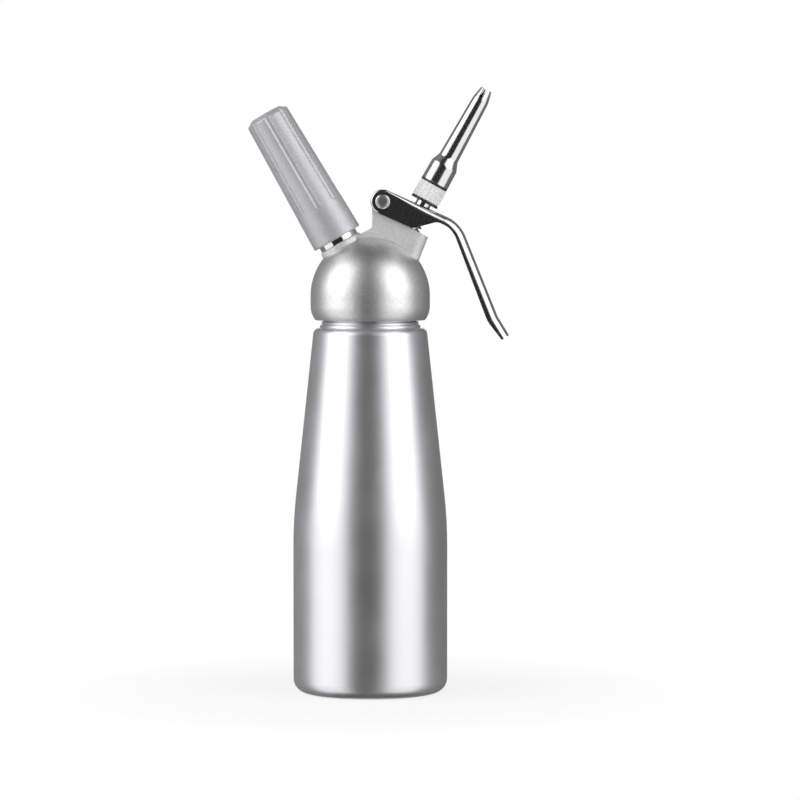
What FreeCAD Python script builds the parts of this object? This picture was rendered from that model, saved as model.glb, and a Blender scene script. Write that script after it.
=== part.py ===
import FreeCAD, Part

import math
import os

# Whipped cream dispenser for one small gas charger, as separate pieces in millimetres.
# The bottle stands on the XY plane with its axis on Z.
# The charger holder leans towards -X, the valve, the tip and the lever lie towards +X.
# The front of the dispenser faces -Y.

# Sizes of the bottle
bottle_radius = 39.4
bottle_wall = 2.0
floor_thickness = 2.5
foot_round = 7.0
foot_recess_radius = 27.0
foot_recess_depth = 1.0
taper_start = 87.9
taper_blend = 240.0
shoulder_height = 186.6
shoulder_radius = 28.8
shoulder_round = 3.3
bead_radius = 25.7
bead_height = 1.55
bead_step = 1.0
bead_groove = 0.5
bead_lift = 0.2
bead_edge = 0.3
neck_bore = 20.5
neck_wall = 2.4
neck_rise = 15.1
neck_edge = 0.4
neck_root_round = 1.0

# Sizes of the bottle thread, used by the neck and the head
bottle_pitch = 3.0
bottle_thread_depth = 1.1
bottle_thread_gap = 0.5
bottle_thread_turns = 3.0
bottle_thread_start = 2.7

# Sizes of the head
head_gap = 0.8
dome_radius = 30.45
dome_centre_rise = 12.4
skirt_rise = 7.0
skirt_round = 11.6
gasket_thickness = 2.5
gasket_gap = 0.3
gasket_lip = 0.5
cavity_lift = 2.0
cavity_step = 1.0

# Charger side: distances along the charger axis start at the dome's centre
charger_tilt = 30.0
charger_boss_height = 31.0
charger_boss_radius = 11.2
charger_boss_draft = 1.0
boss_edge = 0.6
stub_depth = 4.0
stub_plug_radius = 8.6
stub_collar_height = 3.2
stub_thread_length = 7.8
stub_bore = 4.7
stub_edge = 0.3
charger_pitch = 2.0
charger_thread_depth = 0.8
charger_thread_gap = 0.3
charger_thread_crest = 10.4
charger_thread_turns = 2.8
charger_thread_start = 1.4
seat_gap = 0.05
carrier_length = 7.0
carrier_radius = 5.5
carrier_chamber_radius = 2.4
carrier_chamber_depth = 4.8
pin_radius = 1.2
pin_bore = 0.5
pin_length = 5.6
pin_point = 1.4
pin_seat_depth = 0.8
pin_hole_radius = 0.9
charger_seal_thickness = 1.5
charger_seal_hole = 1.9
ball_radius = 1.6
check_hole_radius = 2.9
check_plug_length = 1.0
check_plug_bore = 1.0
check_wire = 0.3
check_coil_radius = 1.4
check_turns = 3
check_gap = 0.05
check_plug_inset = 0.2
ball_drop = 0.88

# Charger and its holder
charger_gap = 0.2
charger_length = 66.0
charger_radius = 8.9
charger_wall = 1.3
charger_neck_radius = 4.35
charger_neck_length = 8.0
charger_shoulder = 6.3
charger_cap_thickness = 0.6
charger_edge = 0.4
charger_neck_round = 1.5
charger_body_round = 5.0
charger_cap_hole = 1.6
holder_lift = 2.6
holder_length = 70.9
holder_foot_radius = 13.15
holder_top_radius = 11.45
holder_clearance = 0.4
holder_top_round = 1.0
holder_crown_rise = 2.3
holder_crown_radius = 7.8
holder_foot_edge = 0.8
insert_radius = 11.65
insert_length = 9.5
insert_inset = 0.2
insert_edge = 0.4
groove_count = 8
groove_width = 3.4
groove_depth = 0.75
groove_start = 18.0

# Valve side: distances along the valve axis start at the valve origin
valve_tilt = 29.0
valve_origin_drop = 2.0
valve_boss_height = 42.0
valve_boss_reach = 10.4
valve_boss_draft = 7.7
block_half_width = 7.5
block_end_round = 5.5
saddle_rise = 4.0
saddle_round = 2.5
block_skirt = 4.0
block_root_rise = 10.0
ear_radius = 4.4
ear_back = 5.35
ear_drop = 2.0
ear_back_round = 1.0
ear_start_angle = 150.0
ear_end_angle = 20.0
nose_reach = 2.6
nose_round = 1.5
spring_pocket_radius = 5.9
spring_pocket_depth = 6.0
valve_seat_height = 27.0
valve_seat_radius = 8.0
stem_radius = 4.0
stem_bore = 2.2
stem_clearance = 0.08
stem_port_radius = 1.2
stem_floor = 0.1
stem_port_lift = 0.5
stem_edge = 0.3
poppet_radius = 6.5
poppet_thickness = 2.0
valve_seal_thickness = 1.7
valve_seal_radius = 6.8
stem_ring_section = 0.85
stem_ring_gap = 0.15
stem_ring_play = 0.1
stem_ring_height = 32.5
collar_rise = 8.4
collar_thickness = 2.0
collar_radius = 6.2
collar_edge = 0.4
spring_wire = 1.0
spring_turns = 7
spring_coil_radius = 4.95
spring_closed_pitch = 1.5
spring_seat_gap = 0.05

# Nozzle adapter, seals and the decorator tip
adapter_seal_rise = 4.2
adapter_seal_thickness = 1.3
adapter_radius = 6.9
adapter_length = 9.0
adapter_ribs = 18
adapter_rib_height = 0.5
adapter_rib_share = 0.3
adapter_rib_end = 0.5
adapter_edge = 0.4
adapter_spigot_radius = 5.9
adapter_spigot_length = 4.6
adapter_bore = 2.6
adapter_stem_grip = 5.5
tip_seal_thickness = 0.9
tip_seal_gap = 0.2
tip_foot_radius = 7.3
tip_neck_radius = 5.2
tip_mouth_radius = 4.3
tip_end_radius = 3.0
tip_foot_length = 10.0
tip_shoulder_length = 4.6
tip_taper_length = 33.4
tip_petal_length = 6.3
tip_wall = 0.8
tip_edge = 0.25
tip_bend = 3.0
tip_petal_bend = 6.0
tip_slots = 4
tip_slot_turn = -15.0
tip_slot_length = 5.3
tip_slot_width = 1.7
tip_slot_flare = 2.0
tip_foot_draft = 0.2
tip_wall_step = 0.3

# Lever: its own frame has the pivot at its origin and runs along the top plate
pivot_reach = 18.6
pivot_rise = 4.75
lever_lift_angle = 5.0
lever_width = 19.0
lever_plate = 1.4
lever_end_radius = 6.2
elbow_distance = 40.3
elbow_round = 18.9
handle_angle = 44.1
handle_length = 51.5
handle_depth = 5.7
flare_angle = 9.8
flare_length = 11.0
flare_depth = 4.5
flare_round = 9.0
lip_length = 3.0
heel_setback = 20.8
heel_round = 4.0
throat_setback = 10.8
throat_lift = 1.4
throat_round = 5.0
crown_round_hinge = 1.1
crown_round_end = 4.2
crown_inner_round = 0.3
lever_room_excess = 8.0
slot_clearance = 0.9
slot_travel = 1.3
dimple_radius = 0.9
dimple_gap = 0.2
dimple_shift = 0.1
pivot_radius = 2.4
pivot_clearance = 0.08
cheek_clearance = 0.03
pin_head_radius = 3.7
pin_head_thickness = 1.1
pin_head_bevel = 0.6
pin_head_dish = 0.3
pin_head_rim = 0.5
pin_edge = 0.2
cap_socket_excess = 0.2
cap_spigot_radius = 1.3
cap_spigot_length = 6.0

# Places worked out from the sizes
bead_top = shoulder_height + 2 * bead_height + bead_lift
neck_root = neck_bore + neck_wall
neck_crest = neck_root + bottle_thread_depth
neck_rim = bead_top + neck_rise
head_bottom = bead_top + head_gap
head_crest = neck_root + bottle_thread_gap
head_bore = head_crest + bottle_thread_depth
gasket_top = neck_rim + gasket_thickness
cavity_radius = neck_bore
cavity_centre = gasket_top + cavity_lift
dome_centre = head_bottom + dome_centre_rise
charger_origin = FreeCAD.Vector(0, 0, dome_centre)
valve_origin = FreeCAD.Vector(0, 0, dome_centre - valve_origin_drop)
stub_foot = charger_boss_height - stub_depth
stub_collar_top = charger_boss_height + stub_collar_height
stub_top = stub_collar_top + stub_thread_length
charger_thread_root = charger_thread_crest - charger_thread_depth
charger_face = stub_foot + carrier_length + charger_seal_thickness + charger_gap
insert_crest = charger_thread_root + charger_thread_gap
insert_root = insert_crest + charger_thread_depth
holder_foot = charger_boss_height + holder_lift
holder_bore = charger_radius + holder_clearance
spring_floor = valve_boss_height - spring_pocket_depth
collar_foot = valve_boss_height + collar_rise
collar_top = collar_foot + collar_thickness
adapter_seal_foot = collar_top + adapter_seal_rise
adapter_foot = adapter_seal_foot + adapter_seal_thickness
adapter_top = adapter_foot + adapter_length
stem_top = adapter_foot + adapter_stem_grip
tip_foot = adapter_top + tip_seal_thickness
lever_inner_half = lever_width / 2 - lever_plate
lever_tilt = valve_tilt - lever_lift_angle

Y_AXIS = FreeCAD.Vector(0, 1, 0)
Z_AXIS = FreeCAD.Vector(0, 0, 1)
ORIGIN = FreeCAD.Vector(0, 0, 0)
# Cutters run this far past the surface that they open
PAST = 1.0


def corner(x, z, radius=0.0):
    """A corner of an outline in the XZ plane and the radius of its round."""
    return FreeCAD.Vector(x, 0, z), radius


def round_at(here, before, after, radius):
    """Start, middle and end of the arc that rounds one corner."""
    to_before = (before - here).normalize()
    to_after = (after - here).normalize()
    half_angle = to_before.getAngle(to_after) / 2
    reach = radius / math.tan(half_angle)
    inward = (to_before + to_after).normalize()
    start = here + to_before * reach
    end = here + to_after * reach
    middle = here + inward * (radius / math.sin(half_angle) - radius)
    return start, middle, end


def outline(corners):
    """Closed face in the XZ plane through corners, with tangent arcs at the rounded ones."""
    joins = []
    for index, (here, radius) in enumerate(corners):
        before = corners[index - 1][0]
        after = corners[(index + 1) % len(corners)][0]
        if radius > 0:
            joins.append(round_at(here, before, after, radius))
        else:
            joins.append((here, None, here))
    edges = []
    for index, (start, middle, end) in enumerate(joins):
        if middle is not None:
            edges.append(Part.Arc(start, middle, end).toShape())
        next_start = joins[(index + 1) % len(joins)][0]
        if (next_start - end).Length > 1e-6:
            edges.append(Part.LineSegment(end, next_start).toShape())
    return Part.Face(Part.Wire(edges))


def turned(corners):
    """Solid of revolution about Z of an outline at x >= 0."""
    return outline(corners).revolve(ORIGIN, Z_AXIS, 360)


def plate(corners, half_width):
    """Outline in the XZ plane, thickened to both sides of it."""
    face = outline(corners)
    face.translate(Y_AXIS * -half_width)
    return face.extrude(Y_AXIS * (2 * half_width))


def rod(radius, low, high):
    """Cylinder on Z between two heights."""
    return Part.makeCylinder(radius, high - low, FreeCAD.Vector(0, 0, low))


def tube(outer, inner, low, high):
    """Hollow cylinder on Z between two heights."""
    return rod(outer, low, high).cut(rod(inner, low - PAST, high + PAST))


def cross_rod(radius, half_length, x=0.0, z=0.0):
    """Cylinder along Y, centred on the XZ plane."""
    return Part.makeCylinder(radius, 2 * half_length, FreeCAD.Vector(x, -half_length, z), Y_AXIS)


def ring(section_radius, centre_radius, height):
    """Rubber ring of round section about Z."""
    return Part.makeTorus(centre_radius, section_radius, FreeCAD.Vector(0, 0, height))


def on_charger_axis(shape):
    """Moves a shape built on Z to the charger axis."""
    placed = shape.copy()
    placed.rotate(ORIGIN, Y_AXIS, -charger_tilt)
    placed.translate(charger_origin)
    return placed


def on_valve_axis(shape):
    """Moves a shape built on Z to the valve axis."""
    placed = shape.copy()
    placed.rotate(ORIGIN, Y_AXIS, valve_tilt)
    placed.translate(valve_origin)
    return placed


def valve_point(across, along):
    """Place of a point of the valve frame: across the axis to +X, and along it."""
    point = FreeCAD.Vector(across, 0, along)
    tilt = FreeCAD.Rotation(Y_AXIS, valve_tilt)
    return tilt.multVec(point) + valve_origin


def on_lever(shape):
    """Moves a shape of the lever's frame to the pivot."""
    placed = shape.copy()
    placed.rotate(ORIGIN, Y_AXIS, lever_tilt)
    placed.translate(pivot_point())
    return placed


def pivot_point():
    """Centre of the lever's pivot."""
    return valve_point(-pivot_reach, valve_boss_height + pivot_rise)


def in_lever_frame(across, along):
    """Place in the lever's frame of a point of the valve frame."""
    point = FreeCAD.Vector(across + pivot_reach, 0, along - valve_boss_height - pivot_rise)
    return FreeCAD.Rotation(Y_AXIS, lever_lift_angle).multVec(point)


def thread_ridge(root, crest, pitch, turns, start):
    """Helical ridge of a thread, sunk into the wall at its root."""
    depth = abs(crest - root)
    outward = 1 if crest > root else -1
    base_width = 0.6 * pitch
    crest_width = 0.27 * pitch
    sink = 0.2 * depth
    sunk_width = base_width + (base_width - crest_width) * sink / depth
    sunk = root - outward * sink
    path = Part.Wire(Part.makeHelix(pitch, pitch * turns, sunk))
    section = Part.makePolygon([
        FreeCAD.Vector(sunk, 0, -sunk_width / 2),
        FreeCAD.Vector(crest, 0, -crest_width / 2),
        FreeCAD.Vector(crest, 0, crest_width / 2),
        FreeCAD.Vector(sunk, 0, sunk_width / 2),
        FreeCAD.Vector(sunk, 0, -sunk_width / 2),
    ])
    ridge = path.makePipeShell([section], True, True)
    ridge.translate(Z_AXIS * start)
    return ridge


def arc_from(start, heading, end):
    """Arc from start to end that leaves start along heading."""
    chord = end - start
    side = (chord - heading * chord.dot(heading)).normalize()
    radius = chord.Length ** 2 / (2 * chord.dot(side))
    centre = start + side * radius
    middle = ((start - centre).normalize() + (end - centre).normalize()).normalize()
    return Part.Arc(start, centre + middle * radius, end).toShape()


def biarc(start, start_heading, end, end_heading):
    """Two tangent arcs between two points with given headings."""
    chord = end - start
    sum_of_headings = start_heading + end_heading
    spread = 2 * (1 - start_heading.dot(end_heading))
    along = chord.dot(sum_of_headings)
    reach = (math.sqrt(along ** 2 + spread * chord.dot(chord)) - along) / spread
    joint = (start + end + (start_heading - end_heading) * reach) / 2
    first = arc_from(start, start_heading, joint)
    back = arc_from(end, end_heading * -1, joint)
    return [first, back]


def coil_rise(turn, turns, closed_pitch, open_pitch):
    """Height of a coil's wire after so many turns, with one closed turn at each end."""
    first = min(turn, 1)
    last = max(turn - (turns - 1), 0)
    return closed_pitch * (first + last) + open_pitch * (turn - first - last)


def coil(centre_radius, wire, low, high, turns, closed_pitch):
    """Wire spring on Z that fills the space between two seats; returns solid and least gap."""
    height = high - low - wire
    open_pitch = (height - 2 * closed_pitch) / (turns - 2)
    quarters = 4 * turns
    places = []
    for quarter in range(quarters + 1):
        turn = quarter / 4
        angle = 2 * math.pi * turn
        rise = coil_rise(turn, turns, closed_pitch, open_pitch)
        slope_low = coil_rise(max(turn - 0.01, 0), turns, closed_pitch, open_pitch)
        slope_high = coil_rise(min(turn + 0.01, turns), turns, closed_pitch, open_pitch)
        step = min(turn + 0.01, turns) - max(turn - 0.01, 0)
        climb = (slope_high - slope_low) / step / (2 * math.pi)
        point = FreeCAD.Vector(
            centre_radius * math.cos(angle), centre_radius * math.sin(angle), low + wire / 2 + rise
        )
        heading = FreeCAD.Vector(
            -centre_radius * math.sin(angle), centre_radius * math.cos(angle), climb
        )
        places.append((point, heading.normalize()))
    edges = []
    for (start, start_heading), (end, end_heading) in zip(places, places[1:]):
        edges += biarc(start, start_heading, end, end_heading)
    path = Part.Wire(edges)
    first_point, first_heading = places[0]
    section = Part.Wire(Part.makeCircle(wire / 2, first_point, first_heading))
    solid = path.makePipeShell([section], True, False)
    gap = least_gap([place[0] for place in places], wire)
    return solid, gap


def least_gap(points, wire):
    """Least distance between wire surfaces of points half a turn or more apart."""
    gaps = []
    for index, point in enumerate(points):
        for other in points[index + 3:]:
            gaps.append((other - point).Length - wire)
    return min(gaps)


def bottle():
    """Bottle of drawn aluminium: foot, tapered wall, beaded collar and threaded neck."""
    inner_shoulder = shoulder_height - bottle_wall
    floor = foot_recess_depth + floor_thickness
    groove = bead_radius - bead_step - bead_groove
    first_bead_top = shoulder_height + bead_height
    body = turned([
        corner(0, foot_recess_depth),
        corner(foot_recess_radius - foot_recess_depth, foot_recess_depth, foot_recess_depth),
        corner(foot_recess_radius, 0),
        corner(bottle_radius, 0, foot_round),
        corner(bottle_radius, taper_start, taper_blend),
        corner(shoulder_radius, shoulder_height, shoulder_round),
        corner(bead_radius - bead_groove, shoulder_height),
        corner(bead_radius, shoulder_height + bead_groove, bead_edge),
        corner(bead_radius - bead_lift, first_bead_top, bead_edge),
        corner(groove, first_bead_top + bead_lift / 2, bead_lift / 2),
        corner(bead_radius - bead_step, first_bead_top + bead_groove, bead_lift),
        corner(bead_radius - bead_step, bead_top, bead_edge),
        corner(neck_root, bead_top),
        corner(neck_root, neck_rim, neck_edge),
        corner(neck_bore, neck_rim, neck_edge),
        corner(neck_bore, inner_shoulder, neck_root_round),
        corner(shoulder_radius - bottle_wall, inner_shoulder, shoulder_round - neck_root_round),
        corner(bottle_radius - bottle_wall, taper_start, taper_blend - bottle_wall),
        corner(bottle_radius - bottle_wall, floor, foot_round - bottle_wall),
        corner(0, floor),
    ])
    ridge = thread_ridge(
        neck_root, neck_crest, bottle_pitch, bottle_thread_turns, bead_top + bottle_thread_start
    )
    return body.fuse(ridge)


def dome():
    """Outside of the head without its bosses: a ball on a short drawn-in skirt."""
    skirt_top = head_bottom + skirt_rise
    skirt_centre = dome_radius - skirt_round
    bottom_radius = skirt_centre + math.sqrt(skirt_round ** 2 - skirt_rise ** 2)
    half_way = math.asin(skirt_rise / skirt_round) / 2
    foot = FreeCAD.Vector(bottom_radius, 0, head_bottom)
    skirt_middle = FreeCAD.Vector(
        skirt_centre + skirt_round * math.cos(half_way), 0,
        skirt_top - skirt_round * math.sin(half_way),
    )
    skirt_end = FreeCAD.Vector(dome_radius, 0, skirt_top)
    equator = FreeCAD.Vector(dome_radius, 0, dome_centre)
    lift = dome_radius * math.sin(math.radians(45))
    ball_middle = FreeCAD.Vector(lift, 0, dome_centre + lift)
    apex = FreeCAD.Vector(0, 0, dome_centre + dome_radius)
    centre_foot = FreeCAD.Vector(0, 0, head_bottom)
    edges = [
        Part.LineSegment(centre_foot, foot).toShape(),
        Part.Arc(foot, skirt_middle, skirt_end).toShape(),
        Part.LineSegment(skirt_end, equator).toShape(),
        Part.Arc(equator, ball_middle, apex).toShape(),
        Part.LineSegment(apex, centre_foot).toShape(),
    ]
    return Part.Face(Part.Wire(edges)).revolve(ORIGIN, Z_AXIS, 360)


def valve_block():
    """Cast block behind and round the valve, with the ear that carries the lever."""
    pivot = pivot_point()
    back = pivot.x - ear_back
    boss_top = FreeCAD.Rotation(Y_AXIS, -charger_tilt).multVec(Z_AXIS * charger_boss_height)
    boss_top += charger_origin
    block_foot = valve_seat_height - block_skirt
    block_depth = valve_boss_height - block_foot
    spread = block_depth * math.tan(math.radians(valve_boss_draft))
    ear_left = math.radians(ear_start_angle)
    ear_right = math.radians(ear_end_angle)
    nose = valve_point(-spring_pocket_radius - nose_reach, valve_boss_height)
    end_top = valve_point(valve_boss_reach, valve_boss_height)
    end_foot = valve_point(valve_boss_reach + spread, block_foot)
    shape = plate([
        corner(boss_top.x / 2, dome_centre + block_root_rise),
        corner(boss_top.x, boss_top.z - boss_edge),
        corner(back, dome_centre + dome_radius + saddle_rise, saddle_round),
        corner(back, pivot.z - ear_drop, ear_back_round),
        corner(pivot.x + ear_radius * math.cos(ear_left), pivot.z + ear_radius * math.sin(ear_left)),
        corner(pivot.x + ear_radius * math.cos(ear_right), pivot.z + ear_radius * math.sin(ear_right)),
        corner(nose.x, nose.z, nose_round),
        corner(end_top.x, end_top.z),
        corner(end_foot.x, end_foot.z),
    ], block_half_width)
    end_edges = []
    for edge in shape.Edges:
        ends = [vertex.Point for vertex in edge.Vertexes]
        from_top = min((point - end_top).dot(point - end_top) for point in ends)
        from_foot = min((point - end_foot).dot(point - end_foot) for point in ends)
        beside = abs(abs(edge.CenterOfMass.y) - block_half_width) < 1e-6
        if beside and max(from_top, from_foot) < block_half_width ** 2 + 0.01:
            end_edges.append(edge)
    shape = shape.makeFillet(block_end_round, end_edges)
    return shape.fuse(cross_rod(ear_radius, block_half_width, pivot.x, pivot.z))


def head():
    """Cast head: threaded skirt, hollow dome, charger boss, valve block and lever ear."""
    boss = turned([
        corner(0, dome_radius / 2),
        corner(charger_boss_radius + charger_boss_draft, dome_radius / 2),
        corner(charger_boss_radius, charger_boss_height, boss_edge),
        corner(0, charger_boss_height),
    ])
    shape = dome().fuse([on_charger_axis(boss), valve_block()])
    hollow = turned([
        corner(0, head_bottom - PAST),
        corner(head_bore, head_bottom - PAST),
        corner(head_bore, gasket_top),
        corner(cavity_radius, gasket_top),
        corner(cavity_radius, cavity_centre + cavity_step),
        corner(0, cavity_centre + cavity_step),
    ])
    ball = Part.makeSphere(cavity_radius, FreeCAD.Vector(0, 0, cavity_centre))
    stub_seat = rod(stub_plug_radius + seat_gap, stub_foot, charger_boss_height + PAST)
    gas_way = rod(check_hole_radius, dome_radius / 2, stub_foot + PAST)
    ring_groove_half = stem_ring_section + stem_ring_play
    ring_groove_radius = stem_radius + stem_ring_gap + 2 * stem_ring_section + seat_gap
    valve_cuts = [
        rod(valve_seat_radius, dome_radius / 2, valve_seat_height),
        rod(stem_radius + stem_clearance, valve_seat_height - PAST, spring_floor + PAST),
        rod(spring_pocket_radius, spring_floor, valve_boss_height + PAST),
        rod(ring_groove_radius, stem_ring_height - ring_groove_half, stem_ring_height + ring_groove_half),
    ]
    pivot = pivot_point()
    cuts = [hollow, ball, on_charger_axis(stub_seat), on_charger_axis(gas_way)]
    cuts += [on_valve_axis(cut) for cut in valve_cuts]
    cuts.append(cross_rod(pivot_radius + pivot_clearance, block_half_width + PAST, pivot.x, pivot.z))
    shape = shape.cut(cuts)
    start = bead_top + bottle_thread_start + bottle_pitch / 2
    ridge = thread_ridge(head_bore, head_crest, bottle_pitch, bottle_thread_turns, start)
    return shape.fuse(ridge)


def head_seal():
    """Flat gasket on the bottle's rim inside the head."""
    return tube(head_bore - gasket_gap, neck_bore - gasket_lip, neck_rim, gasket_top)


def charger_stub():
    """Steel stub screwed into the charger boss; the holder screws onto it."""
    shape = turned([
        corner(carrier_radius + seat_gap, stub_foot),
        corner(stub_plug_radius, stub_foot, stub_edge),
        corner(stub_plug_radius, charger_boss_height),
        corner(charger_thread_crest, charger_boss_height, stub_edge),
        corner(charger_thread_crest, stub_collar_top, stub_edge),
        corner(charger_thread_root, stub_collar_top),
        corner(charger_thread_root, stub_top, 2 * stub_edge),
        corner(stub_bore, stub_top, stub_edge),
        corner(stub_bore, stub_foot + carrier_length),
        corner(carrier_radius + seat_gap, stub_foot + carrier_length),
    ])
    ridge = thread_ridge(
        charger_thread_root, charger_thread_crest, charger_pitch, charger_thread_turns,
        stub_collar_top + charger_thread_start,
    )
    return on_charger_axis(shape.fuse(ridge))


def pin_carrier():
    """Brass plug in the stub that holds the piercing pin over the check valve's chamber."""
    chamber_top = stub_foot + carrier_chamber_depth
    cone_top = chamber_top + pin_seat_depth
    shape = turned([
        corner(carrier_chamber_radius, stub_foot),
        corner(carrier_radius, stub_foot, stub_edge),
        corner(carrier_radius, stub_foot + carrier_length),
        corner(pin_radius, stub_foot + carrier_length),
        corner(pin_radius, cone_top),
        corner(pin_hole_radius, cone_top),
        corner(carrier_chamber_radius, chamber_top),
    ])
    return on_charger_axis(shape)


def piercing_pin():
    """Hollow steel pin with a slanted point that opens the charger."""
    foot = stub_foot + carrier_chamber_depth + pin_seat_depth
    shape = tube(pin_radius, pin_bore, foot, foot + pin_length)
    slant = plate([
        corner(-pin_radius - PAST, foot + pin_length - pin_point),
        corner(pin_radius + PAST, foot + pin_length + pin_point / 2),
        corner(pin_radius + PAST, foot + pin_length + 2 * PAST),
        corner(-pin_radius - PAST, foot + pin_length + 2 * PAST),
    ], pin_radius + PAST)
    return on_charger_axis(shape.cut(slant))


def charger_seal():
    """Rubber washer that the charger's face is pressed on."""
    foot = stub_foot + carrier_length
    return on_charger_axis(tube(stub_bore - 2 * seat_gap, charger_seal_hole, foot, foot + charger_seal_thickness))


def cavity_reach():
    """Distance from the dome's centre to the cavity's wall on the charger axis."""
    rise = cavity_centre - dome_centre
    along = rise * math.cos(math.radians(charger_tilt))
    aside = rise * math.sin(math.radians(charger_tilt))
    return along + math.sqrt(cavity_radius ** 2 - aside ** 2)


def check_plug_foot():
    """Height on the charger axis of the check valve's plug."""
    return cavity_reach() + check_plug_inset


def ball_height():
    """Height on the charger axis of the check ball's centre, just off its seat."""
    chamber_top = stub_foot + carrier_chamber_depth
    return chamber_top - ball_drop


def check_valve_plug():
    """Drilled plug that keeps the check valve's spring in the head."""
    foot = check_plug_foot()
    return on_charger_axis(
        tube(check_hole_radius - seat_gap, check_plug_bore, foot, foot + check_plug_length)
    )


def check_valve_ball():
    """Steel ball that stops cream and gas from running back."""
    return on_charger_axis(Part.makeSphere(ball_radius, FreeCAD.Vector(0, 0, ball_height())))


def check_valve_spring():
    """Fine spring behind the check ball."""
    low = check_plug_foot() + check_plug_length + check_gap
    reach = ball_radius + check_wire / 2 + check_gap
    below_ball = math.sqrt(reach ** 2 - check_coil_radius ** 2)
    high = ball_height() - below_ball + check_wire / 2
    pitch = (high - low - check_wire) / check_turns
    solid, gap = coil(check_coil_radius, check_wire, low, high, check_turns, pitch)
    print(f"check valve spring, least gap {gap:.2f} mm")
    return on_charger_axis(solid)


def charger():
    """Gas charger: round-ended steel bottle with a narrow neck and a pierced cap."""
    face = charger_face
    neck_end = face + charger_neck_length
    body_start = neck_end + charger_shoulder
    body_end = face + charger_length - charger_radius
    inner_radius = charger_radius - charger_wall
    skin = turned([
        corner(0, face),
        corner(charger_neck_radius, face, charger_edge),
        corner(charger_neck_radius, neck_end, charger_neck_round),
        corner(charger_radius, body_start, charger_body_round),
        corner(charger_radius, body_end),
        corner(0, body_end),
    ])
    skin = skin.fuse(Part.makeSphere(charger_radius, FreeCAD.Vector(0, 0, body_end)))
    room = turned([
        corner(0, face + charger_cap_thickness),
        corner(charger_neck_radius - charger_wall, face + charger_cap_thickness),
        corner(charger_neck_radius - charger_wall, neck_end + charger_wall, charger_wall / 2),
        corner(inner_radius, body_start + charger_wall, charger_body_round - charger_wall),
        corner(inner_radius, body_end),
        corner(0, body_end),
    ])
    room = room.fuse(Part.makeSphere(inner_radius, FreeCAD.Vector(0, 0, body_end)))
    cap_hole = rod(charger_cap_hole, face - PAST, face + 2 * PAST)
    return on_charger_axis(skin.cut([room, cap_hole]))


def charger_holder():
    """Long grooved sleeve that covers the charger and screws onto the stub."""
    top = holder_foot + holder_length
    crown = top + holder_crown_rise
    pocket_end = charger_face + charger_length - charger_radius
    shape = turned([
        corner(0, holder_foot),
        corner(holder_foot_radius, holder_foot, holder_foot_edge),
        corner(holder_top_radius, top, holder_top_round),
        corner(holder_crown_radius, crown, holder_top_round),
        corner(0, crown),
    ])
    insert_end = holder_foot + insert_inset + insert_length
    room = rod(holder_bore, holder_foot - PAST, pocket_end)
    room = room.fuse([
        rod(insert_radius + seat_gap, holder_foot - PAST, insert_end),
        Part.makeSphere(holder_bore, FreeCAD.Vector(0, 0, pocket_end)),
    ])
    shape = shape.cut(room)
    return on_charger_axis(shape.cut(holder_grooves()))


def holder_grooves():
    """Round-bottomed finger grooves along the holder's wall, out through its top."""
    foot = FreeCAD.Vector(holder_foot_radius, 0, holder_foot)
    top = FreeCAD.Vector(holder_top_radius, 0, holder_foot + holder_length)
    wall_angle = math.degrees(math.atan2(holder_foot_radius - holder_top_radius, holder_length))
    along = (top - foot).normalize()
    outward = FreeCAD.Vector(along.z, 0, -along.x)
    # A round bottom of this radius is as wide at the wall as it should be
    bottom_radius = (groove_depth ** 2 + (groove_width / 2) ** 2) / (2 * groove_depth)
    centre_out = bottom_radius - groove_depth
    start = foot + along * groove_start + outward * centre_out
    channel = Part.makeCylinder(bottom_radius, holder_length, start, along)
    # Its lower end is a half round of the groove's own width, so the flat wall meets it square
    keep = Part.makeBox(
        4 * bottom_radius, groove_width, holder_length,
        FreeCAD.Vector(-2 * bottom_radius, -groove_width / 2, groove_width / 2),
    )
    end_round = Part.makeCylinder(
        groove_width / 2, 4 * bottom_radius,
        FreeCAD.Vector(-2 * bottom_radius, 0, groove_width / 2), FreeCAD.Vector(1, 0, 0),
    )
    keep = keep.fuse(end_round)
    keep.rotate(ORIGIN, Y_AXIS, -wall_angle)
    keep.translate(foot + along * groove_start)
    groove = channel.common(keep)
    grooves = []
    for index in range(groove_count):
        turned_groove = groove.copy()
        turned_groove.rotate(ORIGIN, Z_AXIS, -90 + 360 / groove_count * index)
        grooves.append(turned_groove)
    return grooves


def holder_insert():
    """Threaded ring pressed into the holder's open end."""
    foot = holder_foot + insert_inset
    shape = turned([
        corner(insert_root, foot, insert_edge),
        corner(insert_radius, foot, insert_edge / 2),
        corner(insert_radius, foot + insert_length, insert_edge / 2),
        corner(insert_root, foot + insert_length, insert_edge / 2),
    ])
    start = stub_collar_top + charger_thread_start + charger_pitch / 2
    ridge = thread_ridge(insert_root, insert_crest, charger_pitch, charger_thread_turns, start)
    return on_charger_axis(shape.fuse(ridge))


def valve_stem():
    """Hollow valve stem with its poppet, gas ports and a shoulder for the spring collar."""
    poppet_top = valve_seat_height - valve_seal_thickness
    poppet_foot = poppet_top - poppet_thickness
    shape = turned([
        corner(0, poppet_foot),
        corner(poppet_radius, poppet_foot, 2 * stem_edge),
        corner(poppet_radius, poppet_top),
        corner(stem_radius, poppet_top),
        corner(stem_radius, stem_top, stem_edge),
        corner(stem_bore, stem_top, stem_edge),
        corner(stem_bore, valve_seat_height + stem_floor),
        corner(0, valve_seat_height + stem_floor),
    ])
    port_height = valve_seat_height + stem_port_radius + stem_port_lift
    ports = [
        Part.makeCylinder(
            stem_port_radius, 2 * stem_radius + 2 * PAST,
            FreeCAD.Vector(-stem_radius - PAST, 0, port_height), FreeCAD.Vector(1, 0, 0),
        ),
        cross_rod(stem_port_radius, stem_radius + PAST, 0, port_height),
    ]
    return on_valve_axis(shape.cut(ports))


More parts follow.
